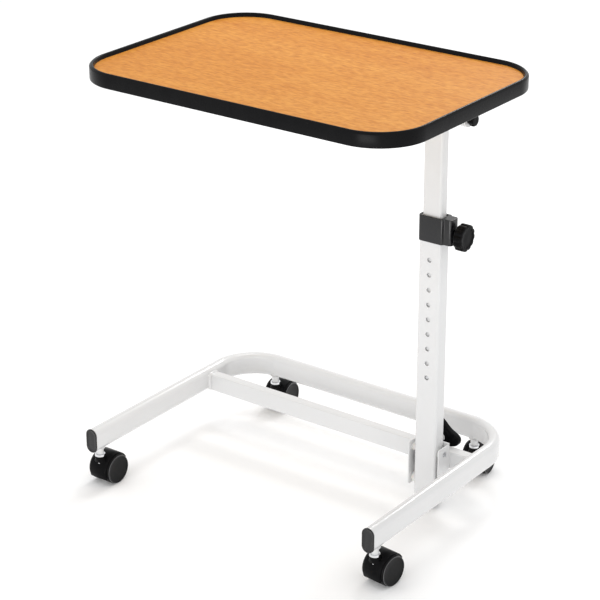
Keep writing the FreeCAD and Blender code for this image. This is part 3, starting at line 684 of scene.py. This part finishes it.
def wing_knob():
    """Three-lobed knob with rolled edges and a hub through its middle."""
    outline = lobed_outline(20.2, 10.3, 1.8, 114.0)
    y0, y1 = 93.0, 104.5
    steps = [(2.2, y0), (0.9, y0 + 0.3), (0.2, y0 + 1.1), (0.0, y0 + 2.2), (0.0, y1 - 3.2),
             (0.3, y1 - 1.7), (1.1, y1 - 0.7), (2.6, y1 - 0.1), (4.6, y1 - 0.3), (6.2, y1 - 1.4),
             (7.2, y1 - 1.7)]
    bm = bmesh.new()
    loft(bm, [[(MAST_X + a, y, WING_Z + b) for a, b in inset(outline, d)] for d, y in steps])
    hub = [(y0 - 1.5, 4.4), (y0 - 1.5, 9.0), (y0 - 1.0, 9.5), (y1 + 0.8, 9.5), (y1 + 1.6, 8.9),
           (y1 + 2.0, 7.8), (y1 + 2.0, 0.4)]
    loft(bm, [[(x, y, z) for x, z in circle(MAST_X, WING_Z, r, 48)] for y, r in hub])
    return finish_piece("wing_knob_moulded", bm, "wing_knob", "black_plastic", ("wing_knob",), 34.0)


# ---------------------------------------------------------------- casters

def hood(bm, x, ya):
    """Shell over both wheels, thick at its lips, from behind the top down to the front."""
    half, r_out, r_in = HOOD_HALF, HOOD_OUT_R, HOOD_IN_R
    middle_r = (r_out + r_in) / 2
    first, last, steps = HOOD_FIRST, HOOD_LAST, 56
    section = [(-half, r_in + 0.3), (-half, r_out - 1.4), (-half + 0.4, r_out - 0.5),
               (-half + 1.4, r_out), (half - 1.4, r_out), (half - 0.4, r_out - 0.5),
               (half, r_out - 1.4), (half, r_in + 0.3), (half - 0.3, r_in), (-half + 0.3, r_in)]
    between = [first + (last - first) * i / steps for i in range(1, steps)]
    angles = [first, first + 0.6] + between + [last - 0.6, last]
    loops = []
    for deg in angles:
        a = math.radians(deg)
        end = deg in (first, last)
        loop = []
        for sx, r in section:
            rr = middle_r + (r - middle_r) * (0.45 if end else 1.0)
            loop.append((x + sx * (0.985 if end else 1.0), ya + rr * math.cos(a),
                         WHEEL_R + rr * math.sin(a)))
        loops.append(loop)
    loft(bm, loops)


def swivelled(obj, x, y, deg):
    """Turns a finished caster piece about its stem, as it stands at rest."""
    m = (Matrix.Translation((x * MM, y * MM, 0)) @ Matrix.Rotation(math.radians(deg), 4, "Z")
         @ Matrix.Translation((-x * MM, -y * MM, 0)))
    obj.data.transform(m)
    obj.data.update()
    return obj


def caster_body(key, x, y, deg):
    """Hood, the web between its wheels, and the neck that turns on the stem."""
    ya = y + TRAIL
    bm = bmesh.new()
    hood(bm, x, ya)
    web = [(ya + 26.4 * math.cos(math.radians(d)), WHEEL_R + 26.4 * math.sin(math.radians(d)))
           for d in range(32, 213, 6)]
    web += [(ya + 8 * math.cos(math.radians(d)), WHEEL_R + 8 * math.sin(math.radians(d)))
            for d in range(240, 391, 15)]
    loft(bm, [[(x + sx, py, pz) for py, pz in web] for sx in (-4.2, -3.9, 3.9, 4.2)])

    def flare(px, py, pz):
        down = max(0.0, (51.0 - pz) / 9.0)
        drop = 0.010 * py * abs(py) * down
        return px * (1 + 0.35 * down * down), py + 2.6 * down * down, pz - drop

    neck = [(41.5, 9.6), (43.5, 9.1), (46.0, 8.7), (49.0, 8.45), (51.8, 8.4), (52.6, 8.1),
            (53.1, 7.3), (53.1, 4.2)]
    lathe_z(bm, neck, x, y, 48, bend=flare)
    name = "caster_%s_body" % key
    obj = finish_piece("caster_%s_hood" % key, bm, "caster_" + key, "black_plastic", (name,), 40.0)
    return swivelled(obj, x, y, deg)


def caster_wheel(key, side, x, y, deg):
    """Turned wheel: round-shouldered tread, a step, and a capped face with a lip ring in lighter
    grey, a painted highlight for the shine on the cap's edge.
    """
    s = -1 if side == "l" else 1
    x_in, x_out = x + s * 5.0, x + s * 21.5
    tread = [(x_in, 3.05), (x_in, 21.5), (x_in + s * 0.6, 23.6), (x_in + s * 2.0, 24.7),
             (x_in + s * 4.0, 25.0), (x_out - s * 4.6, 25.0), (x_out - s * 3.4, 24.9),
             (x_out - s * 2.6, 24.5), (x_out - s * 2.3, 24.0), (x_out - s * 2.2, 23.6)]
    cap = [(x_out - s * 1.6, 23.9), (x_out - s * 0.9, 23.9), (x_out - s * 0.3, 23.55),
           (x_out, 22.9), (x_out - s * 0.02, 22.4), (x_out - s * 0.5, 21.9),
           (x_out - s * 0.7, 21.0), (x_out - s * 0.75, 10.0), (x_out - s * 0.9, 0.4)]
    bm = bmesh.new()
    lathe_x(bm, tread + cap, y + TRAIL, WHEEL_R, 96)
    name = "caster_%s_wheel_%s" % (key, side)
    obj = finish_piece(name + "_turned", bm, "wheel_%s_%s" % (key, side), "wheel_plastic",
                       (name,), 34.0)
    swivelled(obj, x, y, deg)
    # The lip ring's light grey colour is a painted highlight standing in for the shine on the
    # disc's edge.
    ring = [(x_out - s * 0.95, 23.7), (x_out - s * 0.85, 24.05), (x_out - s * 0.5, 24.2),
            (x_out - s * 0.15, 24.0), (x_out - s * 0.02, 23.55), (x_out - s * 0.1, 23.2),
            (x_out - s * 0.6, 23.1)]
    bm = bmesh.new()
    loft(bm, [[(px, py, pz) for py, pz in circle(y + TRAIL, WHEEL_R, r, 96)] for px, r in ring],
         closed=True)
    obj = finish_piece(name + "_lip", bm, "wheel_%s_%s" % (key, side), "wheel_lip_painted_highlight", (), 60.0)
    return swivelled(obj, x, y, deg)


# ---------------------------------------------------------------- carried-over CAD nodes

def dress_cad_nodes():
    """Gives each CAD node the material of its slot in the record."""
    slots = {s["node"]: s["material_slot"] for s in frame["record"]["subparts"]}
    for name, obj in nodes.items():
        obj.data.materials.clear()
        obj.data.materials.append(MATS[slots[name]])
        obj.data.polygons.foreach_set("use_smooth", [True] * len(obj.data.polygons))
        obj.data.set_sharp_from_angle(angle=math.radians(30))


# ---------------------------------------------------------------- studio

def studio():
    """White surroundings, a pale floor and four soft lights."""
    world = bpy.data.worlds.new("studio")
    bpy.context.scene.world = world
    world.use_nodes = True
    back = world.node_tree.nodes["Background"]
    back.inputs["Color"].default_value = (1.0, 1.0, 1.0, 1.0)
    back.inputs["Strength"].default_value = 0.94

    bm = bmesh.new()
    bmesh.ops.create_grid(bm, x_segments=1, y_segments=1, size=14.0)
    mesh = bpy.data.meshes.new("floor")
    bm.to_mesh(mesh)
    bm.free()
    floor = bpy.data.objects.new("floor", mesh)
    bpy.context.scene.collection.objects.link(floor)
    n = Nodes("floor_paper")
    tone = n.ramp(n.noise(3.0, 2.0), [(0.3, (0.95, 0.95, 0.95)), (0.7, (0.96, 0.96, 0.96))])
    glow = (1.0, 1.0, 1.0, 1.0)
    mesh.materials.append(n.finish(tone, 0.9, None, Specular_IOR_Level=0.0, Emission_Color=glow,
                                   Emission_Strength=0.05))

    softbox("top", (-0.5, 0.9, 2.7), (0.0, 0.0, 0.2), 0.8, 0.8, 8.0)
    softbox("key", (-2.0, -2.4, 1.9), (0.0, 0.0, 0.4), 0.8, 1.2, 2.0)
    softbox("back", (-0.28, 2.07, 1.95), (0.0, 0.0, 0.2), 0.9, 0.45, 17.0)
    softbox("low_front", (0.62, -1.95, 0.26), (0.2, 0.0, 0.6), 1.2, 0.45, 8.5)


def softbox(name, place, aim, width, height, power):
    """A rectangular lamp at place that faces aim; metres and watts."""
    data = bpy.data.lights.new(name, "AREA")
    data.shape = "RECTANGLE"
    data.size, data.size_y, data.energy = width, height, power
    obj = bpy.data.objects.new(name, data)
    bpy.context.scene.collection.objects.link(obj)
    obj.location = place
    obj.rotation_euler = (Vector(aim) - Vector(place)).to_track_quat("-Z", "Y").to_euler()


def camera():
    data = bpy.data.cameras.new("camera")
    data.sensor_width = CAMERA_SENSOR
    data.lens = CAMERA_LENS
    data.clip_end = 60.0
    cam = bpy.data.objects.new("camera", data)
    bpy.context.scene.collection.objects.link(cam)
    az, dip = math.radians(CAMERA_AZIMUTH), math.radians(CAMERA_DIP)
    roll = math.radians(CAMERA_ROLL)
    cam.location = CAMERA_PLACE
    aim = Vector((-math.sin(az) * math.cos(dip), math.cos(az) * math.cos(dip), -math.sin(dip)))
    turn = aim.to_track_quat("-Z", "Y").to_matrix() @ Matrix.Rotation(roll, 3, "Z")
    cam.rotation_euler = turn.to_euler()
    bpy.context.scene.camera = cam


dress_cad_nodes()
edge_rim()
base_tube()
end_caps()
weld_beads()
head_welds()
caster_sockets()
caster_collars()
collar()
height_knob()
tilt_knob()
wing_knob()
for caster, (stem_x, stem_y, turned) in CASTERS.items():
    caster_body(caster, stem_x, stem_y, turned)
    for wheel_side in ("l", "r"):
        caster_wheel(caster, wheel_side, stem_x, stem_y, turned)
studio()
camera()
bpy.context.scene.view_settings.view_transform = "Standard"
